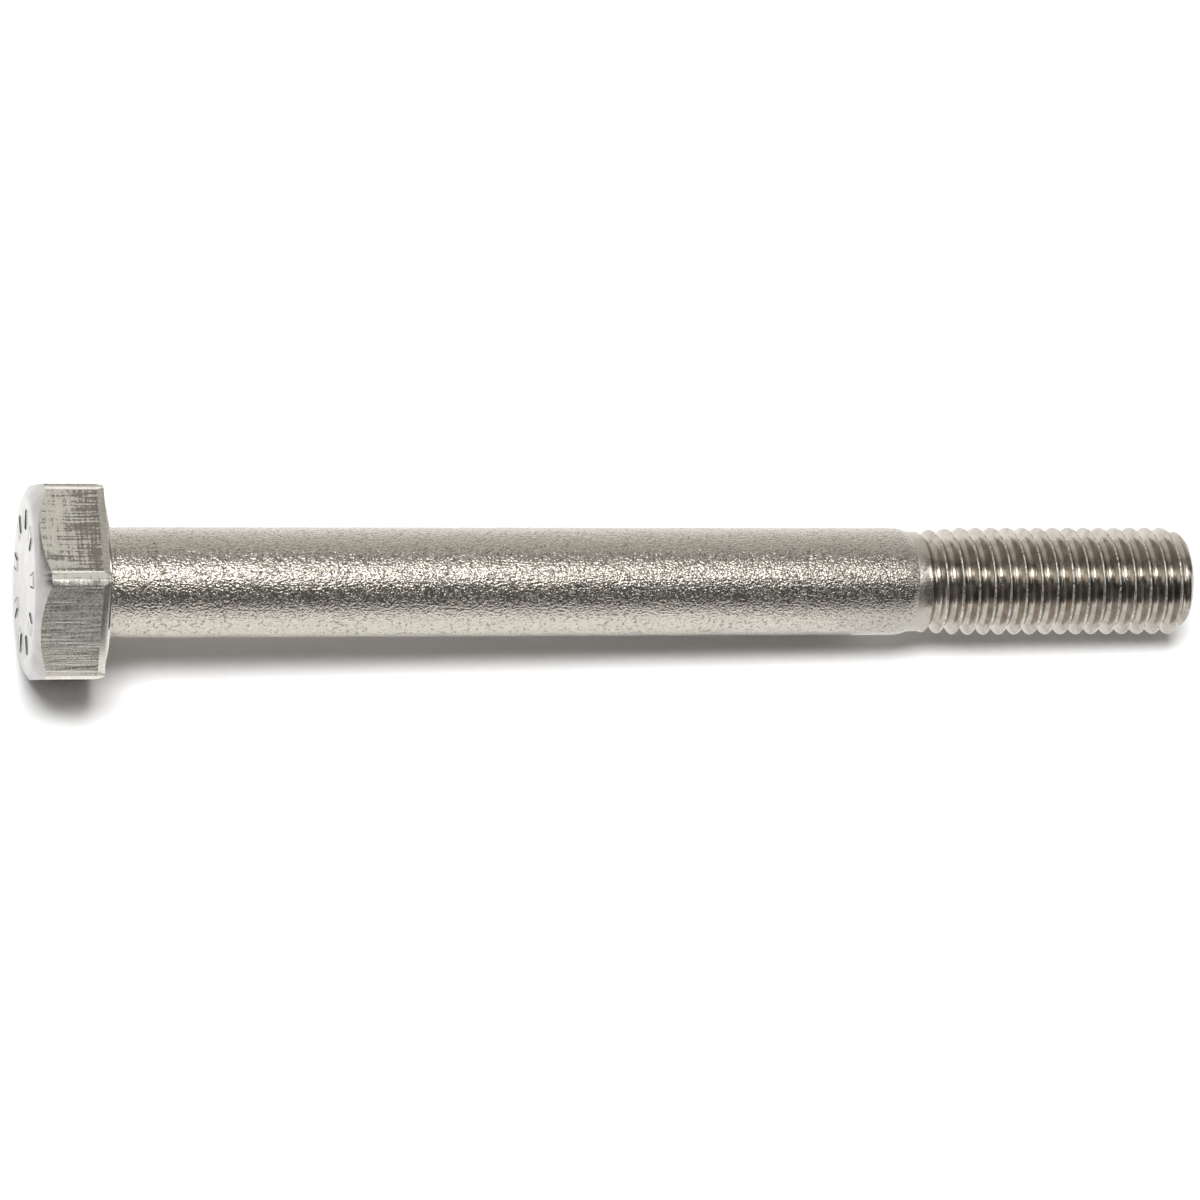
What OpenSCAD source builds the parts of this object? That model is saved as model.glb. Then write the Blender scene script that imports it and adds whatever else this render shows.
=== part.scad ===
// Hex bolt with a plain shank and a part-length metric thread.
// The bolt lies along X: head at -X, thread at +X, one flat of the head facing down.
// The origin is the centre of the bearing face under the head.

/* [Head] */
// Distance across the flats of the hexagon, the spanner size
across_flats = 17; // [16:0.1:18]
// Height of the head, from the bearing face to the end face
head_h = 6.6; // [6:0.1:7]
// Radius that rounds the six corners of the hexagon
corner_r = 2; // [0.5:0.1:3]
// Diameter of the flat end face, inside the chamfer
end_face_d = 15.6; // [14:0.1:16]
// Slope of the chamfer round the end face, in degrees
chamfer_angle = 36; // [20:1:40]
// Radius that blends the end face into the chamfer
end_blend_r = 1.6; // [0.4:0.1:2]
// Diameter of the round washer face under the hexagon
washer_face_d = 15.8; // [15:0.1:16.4]
// Height of the washer face
washer_face_h = 0.3; // [0.2:0.05:0.6]

/* [Head marks] */
// Number of plain raised pads round the end face
mark_count = 9; // [3:1:12]
// Radius of the circle that the pads stand on
mark_ring_r = 5.7; // [4:0.1:6]
// Length of a pad, along the circle
mark_len = 1.4; // [1:0.1:2.6]
// Width of a pad, across the circle
mark_w = 2; // [0.4:0.1:2.4]
// Height of a pad above the end face
mark_h = 0.15; // [0.05:0.05:0.3]

/* [Shank] */
// Length of the bolt under the head
bolt_len = 100.6; // [60:0.1:120]
// Diameter of the plain shank
shank_d = 9.8; // [9.6:0.01:9.86]
// Radius of the fillet between the shank and the bearing face
fillet_r = 0.4; // [0.2:0.05:0.5]
// Length of the rounded shoulder where the shank narrows to the thread
shoulder_len = 1.5; // [1:0.1:5]

/* [Thread] */
// Length of the threaded end, incomplete turns included
thread_len = 26.6; // [15:0.1:40]
// Pitch of the thread
pitch = 1.5; // [1.25:0.25:1.5]
// Diameter over the crests
crest_d = 9.86; // [9.7:0.01:10]
// Diameter at the bottom of the roots
root_d = 8.16; // [8:0.01:8.4]
// Diameter of the bar before the thread is rolled
blank_d = 9.16; // [8.9:0.01:9.2]
// Width of the flat on a crest
crest_flat = 0.2; // [0.1:0.01:0.3]
// Number of turns over which the roots sink to their full depth
root_turns = 0.5; // [0.25:0.25:2]
// Number of turns over which the crests rise to their full height
crest_turns = 3.5; // [1:0.5:5]
// Turn of the whole thread about the bolt's axis, in degrees
thread_turn = 2; // [0:1:359]

/* [Point] */
// Diameter of the flat end of the point
point_d = 8.2; // [8.16:0.02:8.6]
// Slope of the chamfer that makes the point, from the axis, in degrees
point_angle = 45; // [30:1:60]

/* [Hidden] */

// Smoothness of the turned surfaces
$fn = 96;
// Flats of the hexagon, and its diameter over the sharp corners
flat_count = 6;
across_corners = across_flats / cos(180 / flat_count);
// Distance from the axis to the middle of a corner's rounding
corner_mid = (across_flats / 2 - corner_r) / cos(180 / flat_count);
// Half the width of the rounding, and how far its chord is from its middle
corner_half = corner_r * sin(180 / flat_count);
corner_chord = corner_r * cos(180 / flat_count);
// Depth that the chamfer would have at the sharp corners, below the edge of the end face
chamfer_depth = (across_corners - end_face_d) / 2 * tan(chamfer_angle);
// How far a pad is sunk into the head, so that the two are one solid
mark_sink = 0.3;
// Diameter of the shank's foot, where its fillet meets the bearing face
foot_d = shank_d + 2 * fillet_r;
// How far a cut runs past the solid that it cuts
overcut = 1;
// Steps of the arcs on the turned outlines
arc_steps = 6;
// Where the thread begins, from the bearing face
thread_x = bolt_len - thread_len;
// Half angle of the thread's flanks
flank_angle = 30;
// Flat points round one turn of the thread
turn_steps = 36;
// Gap that keeps the first and the last turn clear of the thread's two end faces
end_gap = 0.06;
// Half the width of a crest, and the distance from a crest's middle to the root beside it
half_crest = crest_flat / 2;
half_ridge = half_crest + (crest_d - root_d) / 2 * tan(flank_angle);
// Offsets along the axis of the four lines that draw one ridge, and which of them are crests
ridge_offsets = [-half_ridge, -half_crest, half_crest, half_ridge];
ridge_lines = len(ridge_offsets);
last_line = ridge_lines - 1;
// Middle of the first crest, and the number of steps that fit before the point's end face
first_crest_x = thread_x + end_gap + half_ridge;
step_count = floor((bolt_len - end_gap - half_ridge - first_crest_x) * turn_steps / pitch);

// Stands a solid that was turned about Z along the X axis.
module along_x() {
    rotate([0, 90, 0]) children();
}

// Points of an arc round a centre, from one angle to another.
function arc(centre, r, from, to) = [
    for (i = [0 : arc_steps])
        let (a = from + (to - from) * i / arc_steps)
            centre + r * [cos(a), sin(a)]
];

// Turned outline of the head as [radius, height], with the end face at height 0.
// The blend is an arc that leaves the end face level and runs into the chamfer's slope.
function head_outline(h) =
    let (
        blend_mid_r = end_face_d / 2,
        blend_half = end_blend_r * tan(chamfer_angle / 2),
        blend_centre = [blend_mid_r - blend_half, end_blend_r]
    )
    concat(
        [[0, 0]],
        arc(blend_centre, end_blend_r, -90, -90 + chamfer_angle),
        [
            [across_corners / 2, chamfer_depth],
            [across_corners / 2, h],
            [0, h]
        ]
    );

// Hexagonal head: a hexagon bar, rounded at its corners and chamfered at its end.
module hex_head() {
    hex_h = head_h - washer_face_h;
    color("silver") {
        translate([-head_h, 0, 0])
            along_x()
                difference() {
                    intersection() {
                        rotate([0, 0, 180 / flat_count])
                            cylinder(h = hex_h, d = across_corners, $fn = flat_count);
                        rotate_extrude() polygon(head_outline(hex_h));
                    }
                    for (i = [0 : flat_count - 1])
                        rotate([0, 0, 180 / flat_count + 360 * i / flat_count])
                            corner_waste(hex_h);
                }
        head_marks();
    }
}

// What the rounding takes off one corner: a block outside its chord, less the round bar.
module corner_waste(h) {
    difference() {
        translate([corner_mid + corner_chord, -corner_half, -overcut])
            cube([across_corners / 2, 2 * corner_half, h + 2 * overcut]);
        translate([corner_mid, 0, -2 * overcut])
            cylinder(h = h + 4 * overcut, r = corner_r);
    }
}

// Plain raised pads, evenly spaced round the end face.
module head_marks() {
    for (i = [0 : mark_count - 1])
        rotate([360 * i / mark_count, 0, 0])
            translate([-head_h - mark_h, mark_ring_r - mark_w / 2, -mark_len / 2])
                cube([mark_h + mark_sink, mark_w, mark_len]);
}

// Round bearing face under the hexagon: a ring round the foot of the shank.
module washer_face() {
    color("lightgray")
        translate([-washer_face_h, 0, 0])
            along_x()
                difference() {
                    cylinder(h = washer_face_h, d = washer_face_d);
                    translate([0, 0, -overcut])
                        cylinder(h = washer_face_h + 2 * overcut, d = foot_d);
                }
}

// Plain shank: foot in the washer face, fillet, true cylinder, and a rounded shoulder
// down to the thread's blank.
module shank() {
    r = shank_d / 2;
    drop = r - blank_d / 2;
    // A circle that is level with the shank and falls by drop over the shoulder's length
    shoulder_r = (pow(shoulder_len, 2) + pow(drop, 2)) / (2 * drop);
    shoulder_turn = asin(shoulder_len / shoulder_r);
    shoulder_centre = [r - shoulder_r, thread_x - shoulder_len];
    color("gainsboro")
        along_x()
            rotate_extrude()
                polygon(concat(
                    [[0, -washer_face_h], [foot_d / 2, -washer_face_h]],
                    arc([r + fillet_r, fillet_r], fillet_r, 270, 180),
                    arc(shoulder_centre, shoulder_r, 0, shoulder_turn),
                    [[0, thread_x]]
                ));
}

// Share of a change over some turns that is reached at a step of the helix, from 0 to 1.
function share(step, turns) = min(1, step / (turns * turn_steps));

// Radius of the chamfered point at a place along the axis.
function point_r(x) = point_d / 2 + (bolt_len - x) * tan(point_angle);

// Radius of a line of the ridge at a step: crests rise out of the blank and roots sink into it.
function line_r(line, step, x) =
    let (
        is_root = line == 0 || line == last_line,
        full = (is_root ? root_d : crest_d) / 2,
        reached = share(step, is_root ? root_turns : crest_turns),
        blank = blank_d / 2
    )
    min(blank + (full - blank) * reached, point_r(x));

// Point on the helix of a line of the ridge.
function ridge_point(line, step) =
    let (
        x = first_crest_x + ridge_offsets[line] + pitch * step / turn_steps,
        a = 360 * step / turn_steps,
        r = line_r(line, step, x)
    )
    [x, r * cos(a), r * sin(a)];

// Ring of points round the axis, its first point at the angle of a step.
function end_ring(x, r, step) = [
    for (i = [0 : turn_steps - 1])
        let (a = 360 * (step + i) / turn_steps)
            [x, r * cos(a), r * sin(a)]
];

// Index of a ridge point, and of a point on the ring at the thread's start and at its point.
function ridge(line, step) = line * (step_count + 1) + step;
function start_ring(i) = ridge_lines * (step_count + 1) + i % turn_steps;
function point_ring(i) = ridge_lines * (step_count + 1) + turn_steps + i % turn_steps;

// Two triangles for a four-sided patch, and a fan of triangles round a corner.
function patch(a, b, c, d) = [[a, b, c], [a, c, d]];
function fan(corner, edge) = [for (i = [0 : len(edge) - 2]) [corner, edge[i], edge[i + 1]]];

// Flanks and crest of the ridge, then the root between each turn and the next.
ridge_faces = [
    for (line = [0 : last_line - 1], step = [0 : step_count - 1])
        each patch(
            ridge(line, step), ridge(line + 1, step),
            ridge(line + 1, step + 1), ridge(line, step + 1)
        )
];
root_faces = [
    for (step = [0 : step_count - 1 - turn_steps])
        each patch(
            ridge(last_line, step), ridge(0, step + turn_steps),
            ridge(0, step + turn_steps + 1), ridge(last_line, step + 1)
        )
];

// The blank's face, and the turn that joins it to the first ridge.
start_faces = concat(
    [[for (i = [0 : turn_steps - 1]) start_ring(i)]],
    [
        for (i = [0 : turn_steps - 2])
            each patch(start_ring(i), ridge(0, i), ridge(0, i + 1), start_ring(i + 1))
    ],
    fan(ridge(0, turn_steps - 1), concat(
        [ridge(0, turn_steps)],
        [for (line = [last_line : -1 : 0]) ridge(line, 0)],
        [start_ring(0), start_ring(turn_steps - 1)]
    ))
);

// The last turn's cut end, the turn that joins it to the point's face, and that face.
point_faces = concat(
    [[for (line = [0 : last_line]) ridge(line, step_count)]],
    fan(ridge(last_line, step_count - turn_steps + 1), [
        ridge(last_line, step_count - turn_steps), ridge(0, step_count),
        ridge(last_line, step_count), point_ring(0), point_ring(1)
    ]),
    [
        for (i = [1 : turn_steps - 1])
            let (step = step_count - turn_steps + i)
                each patch(
                    ridge(last_line, step), point_ring(i),
                    point_ring(i + 1), ridge(last_line, step + 1)
                )
    ],
    [[for (i = [turn_steps - 1 : -1 : 0]) point_ring(i)]]
);

// Right-hand thread: one ridge that winds round the blank, fades in, and ends at the point.
module thread() {
    color("darkgray")
        rotate([thread_turn, 0, 0])
            polyhedron(
                points = concat(
                    [
                        for (line = [0 : last_line], step = [0 : step_count])
                            ridge_point(line, step)
                    ],
                    end_ring(thread_x, blank_d / 2, 0),
                    end_ring(bolt_len, point_d / 2, step_count)
                ),
                faces = concat(ridge_faces, root_faces, start_faces, point_faces),
                convexity = 10
            );
}

hex_head();
washer_face();
shank();
thread();
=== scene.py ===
"""Looks of a stainless hex bolt that lies on a pale floor.

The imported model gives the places: the bolt's axis is X, the bearing face under the head is at
X = 0, the head is at -X and the thread at +X. Sizes below are in millimetres and angles in
degrees, unless a comment says otherwise. A mesh is scaled to metres once, when it is finished.
"""

import logging
import math
from dataclasses import dataclass
from enum import Enum

import bmesh
import bpy
from mathutils import Matrix, Vector


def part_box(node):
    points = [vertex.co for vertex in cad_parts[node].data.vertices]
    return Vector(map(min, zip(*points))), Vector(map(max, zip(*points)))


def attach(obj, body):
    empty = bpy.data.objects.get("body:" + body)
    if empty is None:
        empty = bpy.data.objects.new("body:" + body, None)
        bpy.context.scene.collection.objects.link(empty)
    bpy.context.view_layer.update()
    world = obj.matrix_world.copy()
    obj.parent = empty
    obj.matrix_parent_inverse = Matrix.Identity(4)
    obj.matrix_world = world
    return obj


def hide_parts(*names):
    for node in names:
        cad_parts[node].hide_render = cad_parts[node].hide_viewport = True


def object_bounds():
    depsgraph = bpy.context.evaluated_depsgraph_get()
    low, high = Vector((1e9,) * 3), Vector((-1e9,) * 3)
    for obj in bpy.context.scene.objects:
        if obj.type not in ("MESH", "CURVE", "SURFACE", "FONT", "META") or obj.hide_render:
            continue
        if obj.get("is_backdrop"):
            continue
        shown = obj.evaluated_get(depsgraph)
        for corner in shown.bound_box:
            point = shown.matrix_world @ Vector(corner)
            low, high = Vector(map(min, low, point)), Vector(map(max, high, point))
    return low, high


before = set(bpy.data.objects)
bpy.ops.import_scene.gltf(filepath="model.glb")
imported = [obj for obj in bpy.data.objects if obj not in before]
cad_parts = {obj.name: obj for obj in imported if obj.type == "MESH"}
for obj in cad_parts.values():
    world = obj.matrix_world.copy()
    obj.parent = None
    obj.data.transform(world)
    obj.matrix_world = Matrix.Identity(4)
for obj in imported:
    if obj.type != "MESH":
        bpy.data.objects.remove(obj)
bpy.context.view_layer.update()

LOG = logging.getLogger("hex_bolt")
MM = 0.001
AXIS = Vector((1, 0, 0))
UP = Vector((0, 0, 1))

# Flats of the hexagon, and the turn from one to the next.
SIDES = 6
SIDE_TURN = 360 / SIDES
# Faces that meet at more than this turn, in radians, have a sharp edge between them.
SHARP_TURN = math.radians(20)
# Points closer than this become one, within a turned or cut mesh and between wound turns.
WELD = 1e-5
WINDING_WELD = 1e-4
# Room between the pads on the head and the end of the head's CAD node.
END_CLEARANCE = 0.02
# Where a noise's values mostly lie, for a soft change of finish and for a crisper one.
SOFT_SPAN = (0.3, 0.7)
CRISP_SPAN = (0.35, 0.65)

Colour = tuple[float, float, float]
Place = tuple[float, float, float]
Span = tuple[float, float]
Outline = list[tuple[float, float]]
Socket = bpy.types.NodeSocket


class Zone(Enum):
    """The four zones of the bolt, by the name of their CAD node."""

    HEAD = "hex_head"
    WASHER_FACE = "washer_face"
    SHANK = "shank"
    THREAD = "thread"


class Grain(Enum):
    """Which way the fine lines of a finish run: share of its fineness along each axis."""

    AXIAL = (0.05, 1.0, 1.0)
    AROUND = (1.0, 0.06, 0.06)
    SCORED = (0.25, 1.0, 1.0)
    EVEN = (1.0, 1.0, 1.0)


class Layers(Enum):
    """Number of finer layers in a noise, and how strong they are."""

    PLAIN = (1, 0.5)
    SOFT = (2, 0.5)
    TORN = (2, 0.6)
    CLOUDED = (3, 0.55)


def cad_span(zone: Zone) -> Span:
    """Place of a zone along the axis.

    Args:
        zone: The zone whose CAD node is measured.

    Returns:
        Its lowest and highest X.
    """
    low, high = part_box(zone.value)
    return low.x / MM, high.x / MM


def smooth_step(value: float) -> float:
    """Eased share of the way from 0 to 1."""
    t = min(1.0, max(0.0, value))
    return t * t * (3 - 2 * t)


def arc(centre: Span, radius: float, start: float, end: float, steps: int) -> Outline:
    """Points of an arc in the plane of an outline.

    Args:
        centre: Centre, as place along the axis and distance from it.
        radius: Radius of the arc.
        start: Angle of the first point from the axis direction.
        end: Angle of the last point.
        steps: Number of stretches between the two.

    Returns:
        The points, both ends included.
    """
    turns = [math.radians(start + (end - start) * i / steps) for i in range(steps + 1)]
    return [(centre[0] + radius * math.cos(t), centre[1] + radius * math.sin(t)) for t in turns]


def divided(outline: Outline, longest: float) -> Outline:
    """An outline with extra points, so that no stretch of it is longer than a given length.

    Args:
        outline: The points to keep.
        longest: Longest stretch allowed.

    Returns:
        The points with the extra ones between them.
    """
    points = [outline[0]]
    for (x0, r0), (x1, r1) in zip(outline, outline[1:]):
        count = max(1, math.ceil(math.hypot(x1 - x0, r1 - r0) / longest))
        points += [(x0 + (x1 - x0) * i / count, r0 + (r1 - r0) * i / count) for i in range(1, count + 1)]
    return points


def turned(outline: Outline, segments: int) -> bmesh.types.BMesh:
    """A solid turned about the bolt's axis.

    Args:
        outline: Its outline as (place along the axis, distance from the axis).
        segments: Flat stretches round one turn.

    Returns:
        The turned mesh, merged at its seam and its poles, with its faces pointing outwards.
    """
    bm = bmesh.new()
    points = [bm.verts.new((x, 0, r)) for x, r in outline]
    edges = [bm.edges.new(pair) for pair in zip(points, points[1:])]
    bmesh.ops.spin(
        bm, geom=points + edges, cent=(0, 0, 0), axis=AXIS, dvec=(0, 0, 0),
        angle=math.tau, steps=segments, use_merge=True, use_duplicate=False,
    )
    bmesh.ops.remove_doubles(bm, verts=bm.verts, dist=WELD)
    bmesh.ops.dissolve_degenerate(bm, dist=WELD, edges=bm.edges)
    bmesh.ops.recalc_face_normals(bm, faces=bm.faces)
    return bm


def cut_off(bm: bmesh.types.BMesh, place: Vector, out: Vector) -> None:
    """Takes off what lies outside a plane, and closes the cut with one face.

    Args:
        bm: The mesh to cut.
        place: A point on the plane.
        out: The way from the plane to what is taken off.
    """
    made = bmesh.ops.bisect_plane(
        bm, geom=[*bm.verts, *bm.edges, *bm.faces], dist=WELD, plane_co=place, plane_no=out, clear_outer=True
    )
    rim = [e for e in made["geom_cut"] if isinstance(e, bmesh.types.BMEdge)]
    bmesh.ops.contextual_create(bm, geom=rim)


def crease(bm: bmesh.types.BMesh) -> None:
    """Shades a mesh smooth, apart from the edges that turn more than SHARP_TURN."""
    for face in bm.faces:
        face.smooth = True
    for edge in bm.edges:
        edge.smooth = not edge.is_manifold or edge.calc_face_angle(0) < SHARP_TURN


def made_object(bm: bmesh.types.BMesh, name: str, materials: list[bpy.types.Material]) -> bpy.types.Object:
    """Turns a bmesh into an object of the scene.

    Args:
        bm: The mesh, in metres. It is freed.
        name: Name of the object and of its mesh.
        materials: Its materials, in the order of the faces' material numbers.

    Returns:
        The object, at the origin.
    """
    mesh = bpy.data.meshes.new(name)
    bm.to_mesh(mesh)
    bm.free()
    for material in materials:
        mesh.materials.append(material)
    made = bpy.data.objects.new(name, mesh)
    bpy.context.scene.collection.objects.link(made)
    return made


def finished(bm: bmesh.types.BMesh, zone: Zone, materials: list[bpy.types.Material]) -> bpy.types.Object:
    """Turns a bmesh into a piece that stands for its CAD node.

    Args:
        bm: The mesh, in millimetres. It is freed.
        zone: The zone that the piece stands for.
        materials: Its materials, in the order of the faces' material numbers.

    Returns:
        The piece, in metres, riding on the bolt's one body.
    """
    crease(bm)
    bmesh.ops.scale(bm, vec=(MM, MM, MM), verts=bm.verts)
    piece = made_object(bm, f"{zone.value}_steel", materials)
    weights = piece.modifiers.new("even_shading", "WEIGHTED_NORMAL")
    weights.keep_sharp = True
    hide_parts(zone.value)
    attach(piece, "root")
    return piece


class Nodes:
    """Short names for the shader nodes that the finishes use.

    Its place is the Object coordinates, and its along is the place along the bolt's axis in
    millimetres.
    """

    # Numbers of a Mix node's sockets for its two colours and for their mixture.
    MIX_FIRST, MIX_SECOND, MIX_RESULT = 6, 7, 2

    def __init__(self, material: bpy.types.Material) -> None:
        """Empties a material's node tree and starts it again.

        Args:
            material: The material to fill.
        """
        material.use_nodes = True
        self.tree = material.node_tree
        self.tree.nodes.clear()
        self.place = self.add("ShaderNodeTexCoord").outputs["Object"]
        split = self.add("ShaderNodeSeparateXYZ")
        self.link(self.place, split.inputs["Vector"])
        self.along = self.maths("DIVIDE", split.outputs["X"], MM)

    def add(self, kind: str, **settings: object) -> bpy.types.Node:
        """A new node with some of its settings changed."""
        node = self.tree.nodes.new(kind)
        for name, value in settings.items():
            setattr(node, name, value)
        return node

    def link(self, source: Socket, target: Socket) -> None:
        """Joins two sockets."""
        self.tree.links.new(source, target)

    def scaled(self, stretch: Place, per_mm: float) -> Socket:
        """Object coordinates at a given fineness.

        Args:
            stretch: Share of the fineness along each axis, low where a pattern is drawn out.
            per_mm: Pattern cells in a millimetre.

        Returns:
            The coordinates.
        """
        mapping = self.add("ShaderNodeMapping")
        mapping.inputs["Scale"].default_value = [s * per_mm / MM for s in stretch]
        self.link(self.place, mapping.inputs["Vector"])
        return mapping.outputs["Vector"]

    def speckle(self, per_mm: float, grain: Grain = Grain.EVEN, layers: Layers = Layers.PLAIN) -> Socket:
        """Noise from 0 to 1.

        Args:
            per_mm: Cells in a millimetre.
            grain: Way that the cells are drawn out.
            layers: The noise's finer layers.

        Returns:
            The noise's value.
        """
        texture = self.add("ShaderNodeTexNoise")
        detail, strength = layers.value
        texture.inputs["Scale"].default_value = 1
        texture.inputs["Detail"].default_value = detail
        texture.inputs["Roughness"].default_value = strength
        self.link(self.scaled(grain.value, per_mm), texture.inputs["Vector"])
        return texture.outputs["Fac"]

    def between(self, value: Socket, span: Span, out: Span = (0, 1)) -> Socket:
        """A value stretched from one range to another, smoothly and with both ends held.

        Args:
            value: The value to stretch.
            span: The values that give the two ends of the new range.
            out: The new range.

        Returns:
            The stretched value.
        """
        node = self.add("ShaderNodeMapRange", interpolation_type="SMOOTHSTEP")
        self.link(value, node.inputs["Value"])
        for name, end in zip(("From Min", "From Max", "To Min", "To Max"), (*span, *out)):
            node.inputs[name].default_value = end
        return node.outputs["Result"]

    def maths(self, operation: str, a: Socket | float, b: Socket | float) -> Socket:
        """Result of a Math node on two values."""
        node = self.add("ShaderNodeMath", operation=operation)
        for socket, value in zip(node.inputs, (a, b)):
            if isinstance(value, Socket):
                self.link(value, socket)
            else:
                socket.default_value = value
        return node.outputs["Value"]

    def plus(self, value: Socket, other: Socket, share: float) -> Socket:
        """A value with a share of another one added to it."""
        return self.maths("ADD", value, self.maths("MULTIPLY", other, share))

    def mixed(self, share: Socket, a: Socket | Colour, b: Socket | Colour) -> Socket:
        """A colour that goes from a to b as the share goes from 0 to 1."""
        node = self.add("ShaderNodeMix", data_type="RGBA")
        self.link(share, node.inputs["Factor"])
        for number, value in ((self.MIX_FIRST, a), (self.MIX_SECOND, b)):
            if isinstance(value, Socket):
                self.link(value, node.inputs[number])
            else:
                node.inputs[number].default_value = (*value, 1)
        return node.outputs[self.MIX_RESULT]

    def relief(self, height: Socket, depth_mm: float, below: Socket | None = None) -> Socket:
        """Normal of a surface with fine relief.

        Args:
            height: Height from 0 to 1.
            depth_mm: Real height of 1.
            below: Normal of the relief under this one.

        Returns:
            The new normal.
        """
        bump = self.add("ShaderNodeBump")
        bump.inputs["Strength"].default_value = 1
        bump.inputs["Distance"].default_value = depth_mm * MM
        self.link(height, bump.inputs["Height"])
        if below is not None:
            self.link(below, bump.inputs["Normal"])
        return bump.outputs["Normal"]

    def steel(self, colour: Socket, roughness: Socket, normal: Socket) -> None:
        """Ends the tree with a metal surface."""
        shader = self.add("ShaderNodeBsdfPrincipled")
        shader.inputs["Metallic"].default_value = 1
        self.link(colour, shader.inputs["Base Color"])
        self.link(roughness, shader.inputs["Roughness"])
        self.link(normal, shader.inputs["Normal"])
        output = self.add("ShaderNodeOutputMaterial")
        self.link(shader.outputs["BSDF"], output.inputs["Surface"])


@dataclass(frozen=True)
class TumbledFinish:
    """Matt, pitted skin of the bar, as it is after pickling and tumbling."""

    bright: Colour = (0.56, 0.53, 0.475)
    dull: Colour = (0.46, 0.43, 0.375)
    pit: Colour = (0.20, 0.175, 0.145)
    pit_share: float = 0.7
    score_share: float = 0.5
    roughness: Span = (0.17, 0.25)
    grain_per_mm: float = 5.0
    score_per_mm: float = 6.5
    patch_per_mm: float = 0.5
    pit_per_mm: float = 3.2
    tone_span: Span = (0.55, 0.9)
    pit_span: Span = (0.59, 0.68)
    relief_mm: float = 0.08
    score_relief_mm: float = 0.032
    pit_relief_mm: float = 0.04

    def material(self) -> bpy.types.Material:
        """The finish as a material."""
        made = bpy.data.materials.new("tumbled_steel")
        n = Nodes(made)
        grain = n.speckle(self.grain_per_mm)
        scores = n.speckle(self.score_per_mm, Grain.SCORED)
        patches = n.speckle(self.patch_per_mm, layers=Layers.SOFT)
        pits = n.between(n.speckle(self.pit_per_mm, layers=Layers.TORN), self.pit_span)
        tone = n.between(n.plus(grain, scores, self.score_share), self.tone_span)
        skin = n.mixed(tone, self.dull, self.bright)
        colour = n.mixed(n.maths("MULTIPLY", pits, self.pit_share), skin, self.pit)
        roughness = n.between(patches, SOFT_SPAN, self.roughness)
        normal = n.relief(grain, self.relief_mm)
        normal = n.relief(scores, self.score_relief_mm, normal)
        normal = n.relief(n.maths("SUBTRACT", 1.0, pits), self.pit_relief_mm, normal)
        n.steel(colour, roughness, normal)
        return made


@dataclass(frozen=True)
class SlidFinish:
    """Flats that slid through a die: fine lines along the bolt, crossed by rubbed ones."""

    name: str
    bright: Colour = (0.74, 0.715, 0.635)
    dull: Colour = (0.27, 0.255, 0.22)
    roughness: Span = (0.24, 0.32)
    line_per_mm: float = 5.6
    cross_per_mm: float = 4.48
    relief_mm: float = 0.022
    cross: float = 0.6
    cross_mean: float = 0.6
    fleck: float = 0.5
    fleck_relief: float = 0.4
    tone_span: Span = (0.78, 0.99)
    # Painted shade: the flat's colour is darkened towards the head's bearing side by up to this much, over
    # this span along the axis.
    painted_shade: float = 0.32
    painted_shade_span: Span = (-5.5, -0.8)

    def material(self) -> bpy.types.Material:
        """The finish as a material, with painted shade that darkens it towards the head's bearing side."""
        made = bpy.data.materials.new(self.name)
        n = Nodes(made)
        along = n.speckle(self.line_per_mm, Grain.AXIAL)
        across = n.speckle(self.cross_per_mm, Grain.AROUND)
        flecks = n.speckle(self.line_per_mm)
        across = n.maths("ADD", n.maths("MULTIPLY", across, self.cross), (self.cross_mean - self.cross) / 2)
        lines = n.maths("ADD", along, across)
        # Painted shade: the lines are darkened towards the bearing side before they become colour.
        painted_shade = n.between(n.along, self.painted_shade_span, (0.0, self.painted_shade))
        shaded_lines = n.maths("SUBTRACT", n.plus(lines, flecks, self.fleck), painted_shade)
        colour = n.mixed(n.between(shaded_lines, self.tone_span), self.dull, self.bright)
        roughness = n.between(flecks, CRISP_SPAN, self.roughness)
        normal = n.relief(n.plus(lines, flecks, self.fleck_relief), self.relief_mm)
        n.steel(colour, roughness, normal)
        return made


@dataclass(frozen=True)
class CornerFinish:
    """Smooth, faintly lined skin of the rolled corners."""

    name: str
    bright: Colour = (0.72, 0.70, 0.645)
    dull: Colour = (0.56, 0.53, 0.47)
    roughness: Span = (0.12, 0.18)
    line_per_mm: float = 5.0
    cross_per_mm: float = 2.5
    tone_span: Span = (0.35, 0.6)
    relief_mm: float = 0.0015

    def material(self) -> bpy.types.Material:
        """The finish as a material."""
        made = bpy.data.materials.new(self.name)
        n = Nodes(made)
        along = n.speckle(self.line_per_mm, Grain.AXIAL, Layers.TORN)
        across = n.speckle(self.cross_per_mm, Grain.AROUND, Layers.TORN)
        lines = n.plus(n.maths("MULTIPLY", along, 0.5), across, 0.5)
        colour = n.mixed(n.between(lines, self.tone_span), self.dull, self.bright)
        roughness = n.between(across, SOFT_SPAN, self.roughness)
        n.steel(colour, roughness, n.relief(lines, self.relief_mm))
        return made


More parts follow.
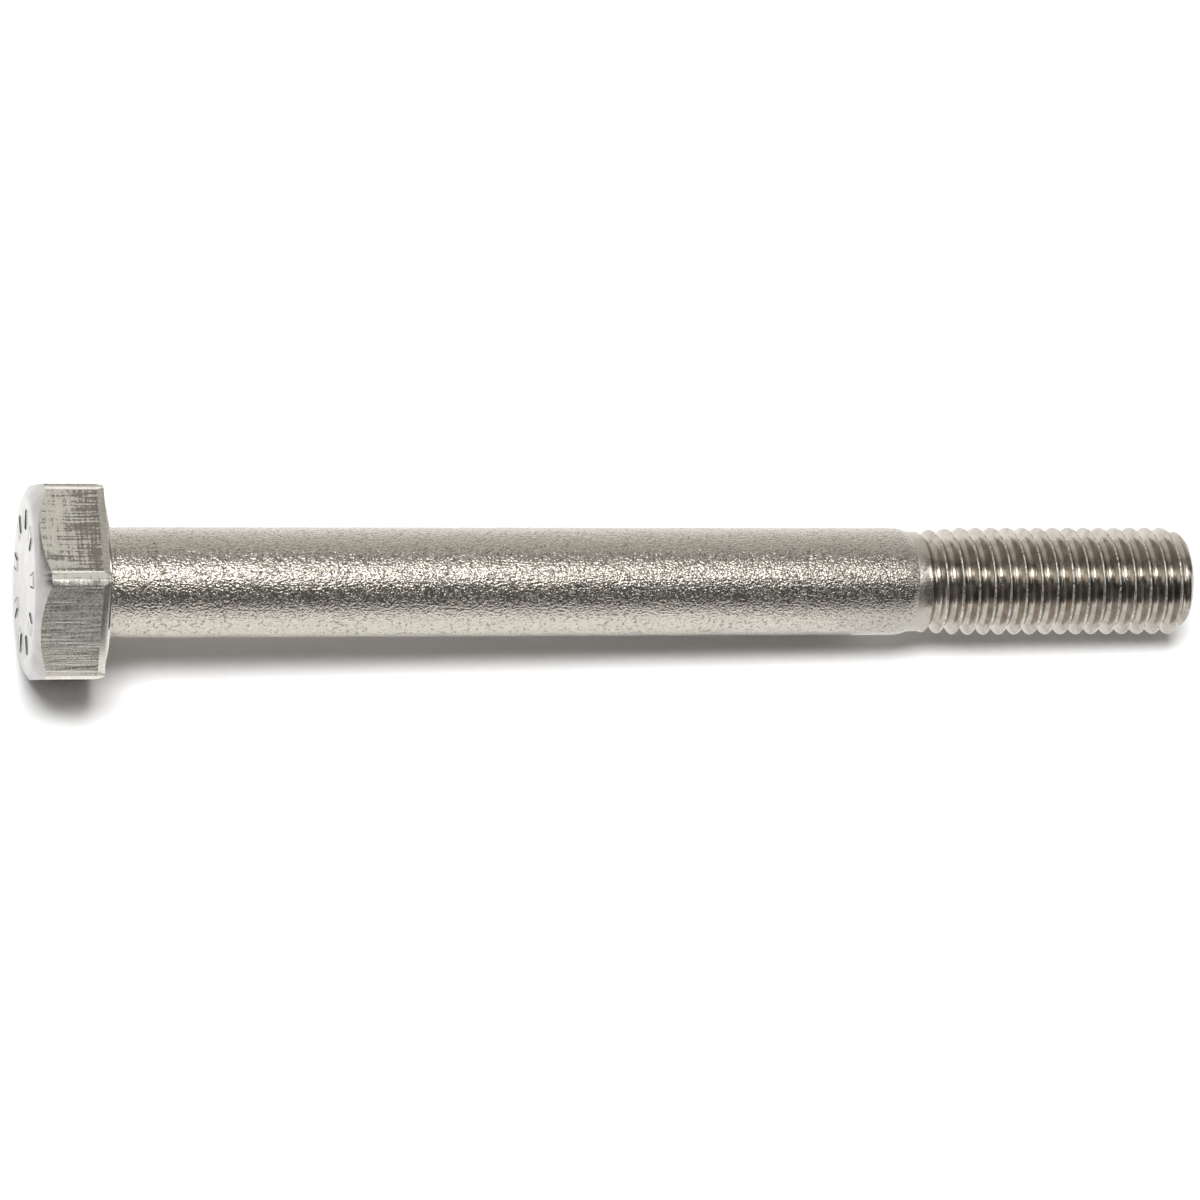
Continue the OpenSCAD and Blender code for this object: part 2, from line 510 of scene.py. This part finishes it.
@dataclass(frozen=True)
class PressedFinish:
    """Bright skin that a die pressed smooth, with faint clouding and a few fine nicks."""

    name: str
    bright: Colour = (0.46, 0.455, 0.445)
    dull: Colour = (0.38, 0.37, 0.36)
    nick_share: float = 0.5
    roughness: Span = (0.16, 0.28)
    cloud_per_mm: float = 0.5
    fine_per_mm: float = 6.0
    nick_per_mm: float = 2.4
    nick_span: Span = (0.68, 0.76)
    relief_mm: float = 0.006

    def material(self) -> bpy.types.Material:
        """The finish as a material."""
        made = bpy.data.materials.new(self.name)
        n = Nodes(made)
        cloud = n.speckle(self.cloud_per_mm, layers=Layers.CLOUDED)
        fine = n.speckle(self.fine_per_mm, layers=Layers.SOFT)
        nicks = n.between(n.speckle(self.nick_per_mm), self.nick_span)
        colour = n.mixed(n.between(cloud, CRISP_SPAN), self.dull, self.bright)
        colour = n.mixed(n.maths("MULTIPLY", nicks, self.nick_share), colour, self.dull)
        roughness = n.between(cloud, SOFT_SPAN, self.roughness)
        n.steel(colour, roughness, n.relief(fine, self.relief_mm))
        return made


@dataclass(frozen=True)
class RolledFinish:
    """Burnished thread: fine lines along the rolled turns, and the bar's matt skin before them."""

    bright: Colour = (0.53, 0.485, 0.43)
    dull: Colour = (0.40, 0.36, 0.31)
    roughness: Span = (0.18, 0.26)
    line_per_mm: float = 8.0
    cloud_per_mm: float = 0.9
    relief_mm: float = 0.004
    matt: Colour = (0.54, 0.505, 0.45)
    matt_roughness: float = 0.3
    matt_per_mm: float = 5.0
    matt_relief_mm: float = 0.07
    matt_span: Span = (0.8, 2.2)

    def material(self) -> bpy.types.Material:
        """The finish as a material, which goes from matt to burnished where the thread begins."""
        made = bpy.data.materials.new("rolled_steel")
        n = Nodes(made)
        begin = cad_span(Zone.THREAD)[0]
        lines = n.speckle(self.line_per_mm, Grain.AROUND, Layers.TORN)
        cloud = n.speckle(self.cloud_per_mm, layers=Layers.SOFT)
        grain = n.speckle(self.matt_per_mm)
        rolled = n.between(n.maths("ADD", n.along, grain), tuple(begin + place for place in self.matt_span))
        matt = n.maths("SUBTRACT", 1.0, rolled)
        colour = n.mixed(n.between(cloud, CRISP_SPAN), self.dull, self.bright)
        colour = n.mixed(matt, colour, self.matt)
        roughness = n.between(cloud, SOFT_SPAN, self.roughness)
        roughness = n.plus(roughness, matt, self.matt_roughness - self.roughness[0])
        normal = n.relief(n.maths("MULTIPLY", grain, matt), self.matt_relief_mm)
        n.steel(colour, roughness, n.relief(lines, self.relief_mm, normal))
        return made


@dataclass(frozen=True)
class CrestFinish:
    """Torn, glittering skin along the crests of the thread."""

    bright: Colour = (0.80, 0.78, 0.74)
    dull: Colour = (0.36, 0.34, 0.31)
    roughness: Span = (0.25, 0.45)
    fleck_per_mm: float = 4.0
    tone_span: Span = (0.4, 0.6)
    relief_mm: float = 0.05

    def material(self) -> bpy.types.Material:
        """The finish as a material."""
        made = bpy.data.materials.new("crest_steel")
        n = Nodes(made)
        flecks = n.speckle(self.fleck_per_mm, layers=Layers.TORN)
        colour = n.mixed(n.between(flecks, self.tone_span), self.dull, self.bright)
        roughness = n.between(flecks, CRISP_SPAN, self.roughness)
        n.steel(colour, roughness, n.relief(flecks, self.relief_mm))
        return made


@dataclass(frozen=True)
class PaperFinish:
    """Matt white paper of the floor."""

    shade: float = 0.9
    roughness: float = 0.9

    def material(self) -> bpy.types.Material:
        """The finish as a material."""
        made = bpy.data.materials.new("floor_paper")
        made.use_nodes = True
        shader = made.node_tree.nodes["Principled BSDF"]
        shader.inputs["Base Color"].default_value = (self.shade, self.shade, self.shade, 1)
        shader.inputs["Roughness"].default_value = self.roughness
        return made


class Skin(Enum):
    """The finishes that one piece wears, in the order of its materials."""

    @property
    def number(self) -> int:
        """Number of the finish's material on the piece."""
        return list(type(self)).index(self)

    @classmethod
    def materials(cls) -> list[bpy.types.Material]:
        """All the piece's finishes as materials."""
        return [skin.value.material() for skin in cls]


class HeadSkin(Skin):
    """Finishes of the head: two kinds of flats, pressed ends, and the corners' bands and lips."""

    RUBBED_FLAT = SlidFinish("slid_steel")
    PRESSED = PressedFinish("pressed_steel")
    # The band and the plain flats get only a little of the painted shade that darkens the flats towards the
    # bearing side.
    BAND = SlidFinish(
        "band_steel", bright=(0.48, 0.47, 0.425), dull=(0.24, 0.23, 0.20), roughness=(0.5, 0.6), painted_shade=0.1
    )
    EDGE = CornerFinish("corner_steel")
    PLAIN_FLAT = SlidFinish(
        "drawn_steel", bright=(0.66, 0.64, 0.575), dull=(0.38, 0.36, 0.315), cross=0.25, painted_shade=0.1
    )


class ThreadSkin(Skin):
    """Finishes of the thread: its turns, their torn crests, and its flat ends."""

    ROLLED = RolledFinish()
    CREST = CrestFinish()
    POINT = PressedFinish("point_steel", roughness=(0.25, 0.35))


@dataclass
class Head:
    """Hexagonal head: turned blank cut by planes, with plain raised pads round its end face.

    A corner is cut by two planes: a wide band, and a narrow lip where the band meets the next
    flat. Their starts are distances from the sharp corner, and their turns start at a flat. A
    strip along each flat leans in towards the bearing side. A pad fills the ring of faces between
    mark_ring's two radii, as far as mark_turn to either side of its middle, and its sides slope
    in by mark_slope. A face within a slack of a plane's angle belongs to that plane.
    """

    across_flats: float = 17.0
    band_start: float = 0.807
    band_turn: float = 24.6
    lip_start: float = 0.635
    lip_turn: float = 28.0
    end_face_radius: float = 7.8
    chamfer_angle: float = 36.0
    blend_radius: float = 1.6
    blend_steps: int = 8
    strip_length: float = 0.65
    strip_angle: float = 16.0
    mark_ring: Span = (4.7, 6.7)
    mark_turn: float = 6.6
    mark_height: float = 0.09
    mark_slope: float = 0.22
    mark_count: int = 9
    segments: int = 360
    edge_round: float = 0.07
    lip_round: float = 0.16
    round_steps: int = 3
    axial_share: float = 0.9
    strip_slack: float = 4.0
    turn_slack: float = 2.0

    def outline(self, end: float, bearing: float) -> Outline:
        """Outline of the blank before the flats are cut.

        Args:
            end: Place of the end face along the axis.
            bearing: Place of the hexagon's other face.

        Returns:
            Points from the end face's middle, over the corners, to the other face's middle.
        """
        slope = math.radians(self.chamfer_angle)
        level = self.end_face_radius - self.blend_radius * math.tan(slope / 2)
        blend_centre = (end + self.blend_radius, level)
        blend = arc(blend_centre, self.blend_radius, 180, 180 - self.chamfer_angle, self.blend_steps)
        sharp = self.across_flats / 2 / math.cos(math.pi / SIDES)
        corner = end + (sharp - self.end_face_radius) * math.tan(slope)
        inner, outer = self.mark_ring
        rings = [(end, radius) for radius in (0.0, inner, (inner + outer) / 2, outer)]
        return [*rings, *blend, (corner, sharp), (bearing, sharp), (bearing, 0.0)]

    def planes(self, bearing: float) -> list[tuple[Vector, Vector]]:
        """Planes that cut the six flats, the strip along each, and the corners' bands and lips.

        Args:
            bearing: Place of the hexagon's bearing side.

        Returns:
            For each plane, a point on it and the way out of the head.
        """
        cuts = []
        apothem = self.across_flats / 2
        half = apothem * math.tan(math.pi / SIDES)
        lean = math.radians(self.strip_angle)
        strip = AXIS * (bearing - self.strip_length)
        for i in range(SIDES):
            flat = (i + 0.5) * SIDE_TURN
            following = flat + SIDE_TURN
            out = self.way(flat)
            middle = out * apothem
            band = middle + self.way(flat + 90) * (half - self.band_start)
            lip = self.way(following) * apothem - self.way(following + 90) * (half - self.lip_start)
            cuts += [
                (middle, out),
                (middle + strip, out * math.cos(lean) + AXIS * math.sin(lean)),
                (band, self.way(flat + self.band_turn)),
                (lip, self.way(flat + self.lip_turn)),
            ]
        return cuts

    @staticmethod
    def way(turn: float) -> Vector:
        """Direction out from the axis at an angle from +Y towards +Z."""
        return Vector((0, math.cos(math.radians(turn)), math.sin(math.radians(turn))))

    def raise_marks(self, bm: bmesh.types.BMesh, end: float) -> None:
        """Raises plain pads from the rings of faces round the end face.

        Args:
            bm: The head.
            end: Place of the end face along the axis.
        """
        inner, outer = self.mark_ring
        step = math.tau / self.mark_count
        half = math.radians(self.mark_turn)
        for i in range(self.mark_count):
            pad = []
            for face in bm.faces:
                spot = face.calc_center_median()
                if abs(spot.x - end) > WELD or not inner < spot.yz.length < outer:
                    continue
                turn = (math.atan2(spot.z, spot.y) - step * i + math.pi) % math.tau - math.pi
                if abs(turn) < half:
                    pad.append(face)
            bmesh.ops.inset_region(
                bm, faces=pad, thickness=self.mark_slope, depth=self.mark_height, use_even_offset=True
            )

    def build(self) -> bpy.types.Object:
        """Builds the head and dresses its flats, its corners and its ends.

        Returns:
            The finished piece.
        """
        low, bearing = cad_span(Zone.HEAD)
        end = low + self.mark_height + END_CLEARANCE
        bm = turned(self.outline(end, bearing), self.segments)
        for place, out in self.planes(bearing):
            cut_off(bm, place, out)
        self.raise_marks(bm, end)
        bmesh.ops.recalc_face_normals(bm, faces=bm.faces)
        for reach, along in ((self.lip_round, True), (self.edge_round, False)):
            bmesh.ops.bevel(
                bm, geom=self.rims(bm, along), offset=reach, offset_type="OFFSET", segments=self.round_steps,
                profile=0.5, affect="EDGES", material=-1, clamp_overlap=True,
            )
        for face in bm.faces:
            face.material_index = self.skin(face, bearing).number
        return finished(bm, Zone.HEAD, HeadSkin.materials())

    def rims(self, bm: bmesh.types.BMesh, along: bool) -> list[bmesh.types.BMEdge]:
        """Sharp edges of the hexagon.

        Args:
            bm: The head.
            along: True for the edges that run along the axis, False for the others.

        Returns:
            The edges.
        """
        found = []
        for edge in bm.edges:
            sharp = edge.is_manifold and edge.calc_face_angle(0) > SHARP_TURN
            if sharp and min(v.co.yz.length for v in edge.verts) > self.end_face_radius:
                way = (edge.verts[1].co - edge.verts[0].co).normalized()
                if (abs(way.x) > self.axial_share) == along:
                    found.append(edge)
        return found

    def skin(self, face: bmesh.types.BMFace, bearing: float) -> HeadSkin:
        """Which finish a face has.

        Args:
            face: The face.
            bearing: Place of the hexagon's bearing side.

        Returns:
            The finish. The flats that face up and down are the rubbed ones.
        """
        normal = face.normal
        if normal.yz.length < math.cos(math.radians(self.strip_angle + self.strip_slack)):
            return HeadSkin.PRESSED
        if face.calc_center_median().x > bearing - self.strip_length:
            return HeadSkin.EDGE
        turn = math.degrees(math.atan2(normal.z, normal.y)) % SIDE_TURN - SIDE_TURN / 2
        if abs(turn) < self.turn_slack:
            return HeadSkin.RUBBED_FLAT if abs(normal.z) > abs(normal.y) else HeadSkin.PLAIN_FLAT
        return HeadSkin.BAND if abs(turn - self.band_turn) < self.turn_slack else HeadSkin.EDGE


@dataclass
class WasherFace:
    """Thin round face under the hexagon, with a softened rim."""

    radius: float = 7.9
    rim_round: float = 0.12
    rim_steps: int = 4
    segments: int = 240

    def build(self) -> bpy.types.Object:
        """Builds and dresses the ring.

        Returns:
            The finished piece.
        """
        low, high = cad_span(Zone.WASHER_FACE)
        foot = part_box(Zone.SHANK.value)[1].z / MM
        rim_centre = (high - self.rim_round, self.radius - self.rim_round)
        rim = arc(rim_centre, self.rim_round, 90, 0, self.rim_steps)
        outline = [(low, foot), (low, self.radius), *rim, (high, foot), (low, foot)]
        bm = turned(outline, self.segments)
        return finished(bm, Zone.WASHER_FACE, [CornerFinish("bearing_steel").material()])


@dataclass
class Shank:
    """Plain shank: foot, fillet, cylinder, and the shoulder that narrows to the thread."""

    radius: float = 4.9
    fillet: float = 0.4
    fillet_steps: int = 6
    shoulder: float = 1.5
    shoulder_steps: int = 8
    neck_radius: float = 4.58
    segments: int = 192
    ring_length: float = 0.6

    def outline(self) -> Outline:
        """Outline from the foot's middle to the middle of the end that meets the thread."""
        low, high = cad_span(Zone.SHANK)
        foot = self.radius + self.fillet
        drop = self.radius - self.neck_radius
        bend = (self.shoulder ** 2 + drop ** 2) / (2 * drop)
        bend_centre = (high - self.shoulder, self.radius - bend)
        turn = math.degrees(math.asin(self.shoulder / bend))
        fillet = arc((self.fillet, foot), self.fillet, 180, 270, self.fillet_steps)
        shoulder = arc(bend_centre, bend, 90, 90 - turn, self.shoulder_steps)
        body = divided([fillet[-1], shoulder[0]], self.ring_length)
        return [(low, 0.0), (low, foot), *fillet, *body[1:-1], *shoulder, (high, 0.0)]

    def build(self) -> bpy.types.Object:
        """Builds and dresses the shank.

        Returns:
            The finished piece.
        """
        bm = turned(self.outline(), self.segments)
        return finished(bm, Zone.SHANK, [TumbledFinish().material()])


@dataclass
class Thread:
    """Right-hand rolled thread with incomplete first turns and a chamfered point.

    After root_lead the roots sink over root_runout, and the crests rise over crest_runout. A
    point no more than crest_depth below the top lies on a crest. The point_radius is where the
    chamfer ends, and phase_turn turns the whole winding about the axis.
    """

    pitch: float = 1.5
    crest_radius: float = 4.93
    root_radius: float = 4.12
    blank_radius: float = 4.58
    crest_round: float = 0.14
    crest_depth: float = 0.04
    flank_angle: float = 26.0
    first_crest: float = 0.651
    arc_steps: int = 8
    root_lead: float = 0.85
    root_runout: float = 0.7
    crest_runout: float = 5.25
    point_radius: float = 4.1
    phase_turn: float = 2.0
    turn_steps: int = 120
    spare_turns: int = 2

    def ridge(self, middle: float) -> Outline:
        """Outline of one pitch of the thread, from root to root.

        Args:
            middle: Place of the crest's middle along the axis.

        Returns:
            The points, with both root ends included.
        """
        lean = math.radians(self.flank_angle)
        height = self.crest_radius - self.root_radius
        # A straight flank touches both rounds, which fixes the sum of their radii.
        both = (self.pitch / 2 * math.cos(lean) - height * math.sin(lean)) / (1 - math.sin(lean))
        bend = both - self.crest_round
        low, top = self.root_radius + bend, self.crest_radius - self.crest_round
        left = arc((middle - self.pitch / 2, low), bend, 270, 360 - self.flank_angle, self.arc_steps)
        crest = arc((middle, top), self.crest_round, 180 - self.flank_angle, self.flank_angle, self.arc_steps)
        right = arc((middle + self.pitch / 2, low), bend, 180 + self.flank_angle, 270, self.arc_steps)
        return [*left, *crest, *right]

    def wind(self, first: float, turns: int) -> bmesh.types.BMesh:
        """Winds one ridge round the axis.

        Args:
            first: Place of the first crest's middle.
            turns: Number of turns, the one before the first crest included.

        Returns:
            The winding, one turn beside the other.
        """
        bm = bmesh.new()
        points = [bm.verts.new((x, r, 0)) for x, r in self.ridge(first - self.pitch)]
        edges = [bm.edges.new(pair) for pair in zip(points, points[1:])]
        bmesh.ops.spin(
            bm, geom=points + edges, cent=(0, 0, 0), axis=AXIS, angle=math.tau, steps=self.turn_steps,
            dvec=(self.pitch / self.turn_steps, 0, 0), use_merge=False, use_duplicate=False,
        )
        one = [*bm.verts, *bm.edges, *bm.faces]
        for i in range(1, turns):
            copy = bmesh.ops.duplicate(bm, geom=one)["geom"]
            moved = [v for v in copy if isinstance(v, bmesh.types.BMVert)]
            bmesh.ops.translate(bm, verts=moved, vec=AXIS * self.pitch * i)
        bmesh.ops.remove_doubles(bm, verts=bm.verts, dist=WINDING_WELD)
        turn = Matrix.Rotation(math.radians(self.phase_turn), 3, "X")
        bmesh.ops.rotate(bm, verts=bm.verts, cent=(0, 0, 0), matrix=turn)
        return bm

    def shape(self, vert: bmesh.types.BMVert, start: float, end: float) -> None:
        """Moves a point of the full thread in or out: fades the first turns and cuts the point.

        Args:
            vert: The point.
            start: Place where the thread begins.
            end: Place of the thread's end face.
        """
        radius = vert.co.yz.length
        rise = min(1.0, max(0.0, (vert.co.x - start) / self.crest_runout))
        top = self.blank_radius + (self.crest_radius - self.blank_radius) * rise
        share = (radius - self.root_radius) / (self.crest_radius - self.root_radius)
        formed = self.root_radius + (top - self.root_radius) * share
        depth = smooth_step((vert.co.x - start - self.root_lead) / self.root_runout)
        wanted = self.blank_radius + (formed - self.blank_radius) * depth
        wanted = min(wanted, self.point_radius + max(0.0, end - vert.co.x))
        vert.co.y *= wanted / radius
        vert.co.z *= wanted / radius

    def skin(self, face: bmesh.types.BMFace, start: float, crests: set[bmesh.types.BMVert]) -> ThreadSkin:
        """Which finish a face has.

        Args:
            face: The face.
            start: Place where the thread begins.
            crests: The points along the crests.

        Returns:
            The finish.
        """
        if abs(face.normal.x) > math.cos(SHARP_TURN):
            return ThreadSkin.POINT
        formed = face.calc_center_median().x > start + self.root_lead + self.root_runout
        return ThreadSkin.CREST if formed and crests.issuperset(face.verts) else ThreadSkin.ROLLED

    def build(self) -> bpy.types.Object:
        """Winds the ridge, fades it in, cuts both ends and dresses it.

        Returns:
            The finished piece.
        """
        start, end = cad_span(Zone.THREAD)
        turns = math.ceil((end - start) / self.pitch) + self.spare_turns
        bm = self.wind(start + self.first_crest, turns)
        crests = {v for v in bm.verts if v.co.yz.length > self.crest_radius - self.crest_depth}
        for vert in bm.verts:
            self.shape(vert, start, end)
        cut_off(bm, AXIS * start, -AXIS)
        cut_off(bm, AXIS * end, AXIS)
        bmesh.ops.recalc_face_normals(bm, faces=bm.faces)
        for face in bm.faces:
            face.material_index = self.skin(face, start, crests).number
        return finished(bm, Zone.THREAD, ThreadSkin.materials())


@dataclass(frozen=True)
class Lamp:
    """Soft rectangular lamp that reflections don't see, with its power in watts."""

    name: str
    place: Place
    size: Span
    power: float
    colour: Colour = (1.0, 1.0, 1.0)
    aim: Place = (50, 0, 0)

    def build(self) -> None:
        """Hangs the lamp and turns it towards its aim."""
        data = bpy.data.lights.new(self.name, "AREA")
        data.shape = "RECTANGLE"
        data.size, data.size_y = (side * MM for side in self.size)
        data.energy = self.power
        data.color = self.colour
        made = bpy.data.objects.new(self.name, data)
        made.location = Vector(self.place) * MM
        made.rotation_euler = (Vector(self.aim) - Vector(self.place)).to_track_quat("-Z", "Y").to_euler()
        made.visible_glossy = False
        bpy.context.scene.collection.objects.link(made)


@dataclass(frozen=True)
class Card:
    """Flat card that only reflections see.

    Its size is its width along the bolt and its other side. Its glow is its brightness at its
    edge nearest to -Y and at the opposite one.
    """

    name: str
    centre: Place
    size: Span
    glow: Span
    facing: Place = (0, 0, -1)

    def material(self) -> bpy.types.Material:
        """The card's glow as a material."""
        made = bpy.data.materials.new(self.name)
        made.use_nodes = True
        tree = made.node_tree
        shader = tree.nodes["Principled BSDF"]
        shader.inputs["Base Color"].default_value = (0, 0, 0, 1)
        shader.inputs["Roughness"].default_value = 1
        shader.inputs["Specular IOR Level"].default_value = 0
        shader.inputs["Emission Color"].default_value = (1, 1, 1, 1)
        way = tree.nodes.new("ShaderNodeTexCoord")
        split = tree.nodes.new("ShaderNodeSeparateXYZ")
        fade = tree.nodes.new("ShaderNodeMapRange")
        fade.interpolation_type = "SMOOTHSTEP"
        fade.inputs["To Min"].default_value, fade.inputs["To Max"].default_value = self.glow
        tree.links.new(way.outputs["Generated"], split.inputs["Vector"])
        tree.links.new(split.outputs["Y"], fade.inputs["Value"])
        tree.links.new(fade.outputs["Result"], shader.inputs["Emission Strength"])
        return made

    def build(self) -> None:
        """Cuts the card to size and hangs it."""
        bm = bmesh.new()
        bmesh.ops.create_grid(bm, x_segments=1, y_segments=1, size=0.5)
        bmesh.ops.scale(bm, verts=bm.verts, vec=(self.size[0] * MM, self.size[1] * MM, 1))
        turn = UP.rotation_difference(Vector(self.facing)).to_matrix()
        bmesh.ops.rotate(bm, verts=bm.verts, cent=(0, 0, 0), matrix=turn)
        bmesh.ops.translate(bm, verts=bm.verts, vec=Vector(self.centre) * MM)
        card = made_object(bm, self.name, [self.material()])
        card.visible_camera = False
        card.visible_diffuse = False
        card.visible_shadow = False
        card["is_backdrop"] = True


@dataclass
class Studio:
    """Pale floor, soft overhead light and the camera.

    The floor leans by rest_tilt, because the bolt lies on its head and on the thread's point. The
    camera's azimuth goes from the -Y side towards -X. The room's tones are pairs of how far a
    direction points along Y and how bright the room is there.
    """

    rest_tilt: float = 2.06
    floor_half: float = 1500.0
    look_at: Place = (45.94, 0.0, -3.16)
    distance: float = 431.2
    azimuth: float = 25.74
    elevation: float = 55.91
    roll: float = 21.61
    lens: float = 142.7
    sensor: float = 36.0
    clip: Span = (10.0, 20000.0)
    room_tones: tuple[Span, ...] = ((-1.0, 0.05), (-0.3, 0.08), (0.2, 0.18), (0.5, 0.50), (1.0, 0.90))
    room_tint: Colour = (1.0, 0.97, 0.93)
    lamps: tuple[Lamp, ...] = (
        Lamp("softbox", (-120, -60, 1000), (380, 580), power=14.0),
        Lamp("fill", (60, -700, 300), (500, 300), power=0.25, colour=(1.0, 0.93, 1.0)),
    )
    cards: tuple[Card, ...] = (
        Card("softbox_glow", (112, -98, 400), (186, 402), glow=(0.3, 0.3)),
        Card("softbox_end", (547, -55, 400), (684, 316), glow=(4.0, 0.06)),
        Card("softbox_heart", (12, -68, 396), (135, 342), glow=(10.5, 0.3)),
        Card("softbox_back", (50, 205, 400), (150, 150), glow=(0.4, 1.1)),
        Card("front_grey", (-71, -75, 63), (358, 130), glow=(0.14, 0.14), facing=(0, 1, 0)),
        Card("front_dark", (229, -75, 63), (242, 130), glow=(0.03, 0.03), facing=(0, 1, 0)),
        Card("floor_bounce", (92, -22, -5.15), (44, 44), glow=(1.0, 1.05), facing=(-0.036, 0, 1)),
    )

    def floor(self) -> None:
        """Lays the floor under the head's flat and the thread's point."""
        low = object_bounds()[0]
        bm = bmesh.new()
        bmesh.ops.create_grid(bm, x_segments=1, y_segments=1, size=self.floor_half * MM)
        tilt = Matrix.Rotation(-math.radians(self.rest_tilt), 3, "Y")
        bmesh.ops.rotate(bm, verts=bm.verts, cent=(0, 0, 0), matrix=tilt)
        bmesh.ops.translate(bm, verts=bm.verts, vec=(cad_span(Zone.HEAD)[1] * MM, 0, low.z))
        sheet = made_object(bm, "floor", [PaperFinish().material()])
        sheet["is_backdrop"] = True

    def surround(self) -> None:
        """Grey room: nearly black behind the camera, lighter towards the far wall."""
        world = bpy.data.worlds.new("surround")
        bpy.context.scene.world = world
        world.use_nodes = True
        tree = world.node_tree
        way = tree.nodes.new("ShaderNodeTexCoord")
        split = tree.nodes.new("ShaderNodeSeparateXYZ")
        ramp = tree.nodes.new("ShaderNodeValToRGB")
        share = tree.nodes.new("ShaderNodeMapRange")
        share.inputs["From Min"].default_value = -1
        tree.links.new(way.outputs["Generated"], split.inputs["Vector"])
        tree.links.new(split.outputs["Y"], share.inputs["Value"])
        tree.links.new(share.outputs["Result"], ramp.inputs["Fac"])
        tree.links.new(ramp.outputs["Color"], tree.nodes["Background"].inputs["Color"])
        stops = ramp.color_ramp.elements
        while len(stops) < len(self.room_tones):
            stops.new(0.5)
        for stop, (place, tone) in zip(stops, self.room_tones):
            stop.position = (place + 1) / 2
            stop.color = (*(tone * part for part in self.room_tint), 1)

    def camera(self) -> None:
        """Stands the camera at its azimuth and elevation, and then rolls it."""
        a, e, roll = (math.radians(v) for v in (self.azimuth, self.elevation, self.roll))
        ahead = Vector((math.sin(a) * math.cos(e), math.cos(a) * math.cos(e), -math.sin(e)))
        level = Vector((math.cos(a), -math.sin(a), 0))
        up = level.cross(ahead)
        right = level * math.cos(roll) + up * math.sin(roll)
        top = up * math.cos(roll) - level * math.sin(roll)
        data = bpy.data.cameras.new("camera")
        data.lens = self.lens
        data.sensor_width = self.sensor
        data.clip_start, data.clip_end = (reach * MM for reach in self.clip)
        made = bpy.data.objects.new("camera", data)
        place = Matrix((right, top, -ahead)).transposed().to_4x4()
        place.translation = (Vector(self.look_at) - ahead * self.distance) * MM
        made.matrix_world = place
        bpy.context.scene.collection.objects.link(made)
        bpy.context.scene.camera = made

    def build(self) -> None:
        """Sets up floor, lamps, cards, room and camera, and the plain tone of the picture."""
        self.floor()
        for light in (*self.lamps, *self.cards):
            light.build()
        self.surround()
        self.camera()
        bpy.context.scene.view_settings.view_transform = "Standard"


def main() -> None:
    """Builds the four zones and the studio."""
    logging.basicConfig(level=logging.INFO, format="%(name)s: %(message)s")
    for part in (Head(), WasherFace(), Shank(), Thread()):
        piece = part.build()
        mesh = piece.data
        LOG.info("%s: %d faces, %d materials", piece.name, len(mesh.polygons), len(mesh.materials))
    Studio().build()


if __name__ == "__main__":
    main()
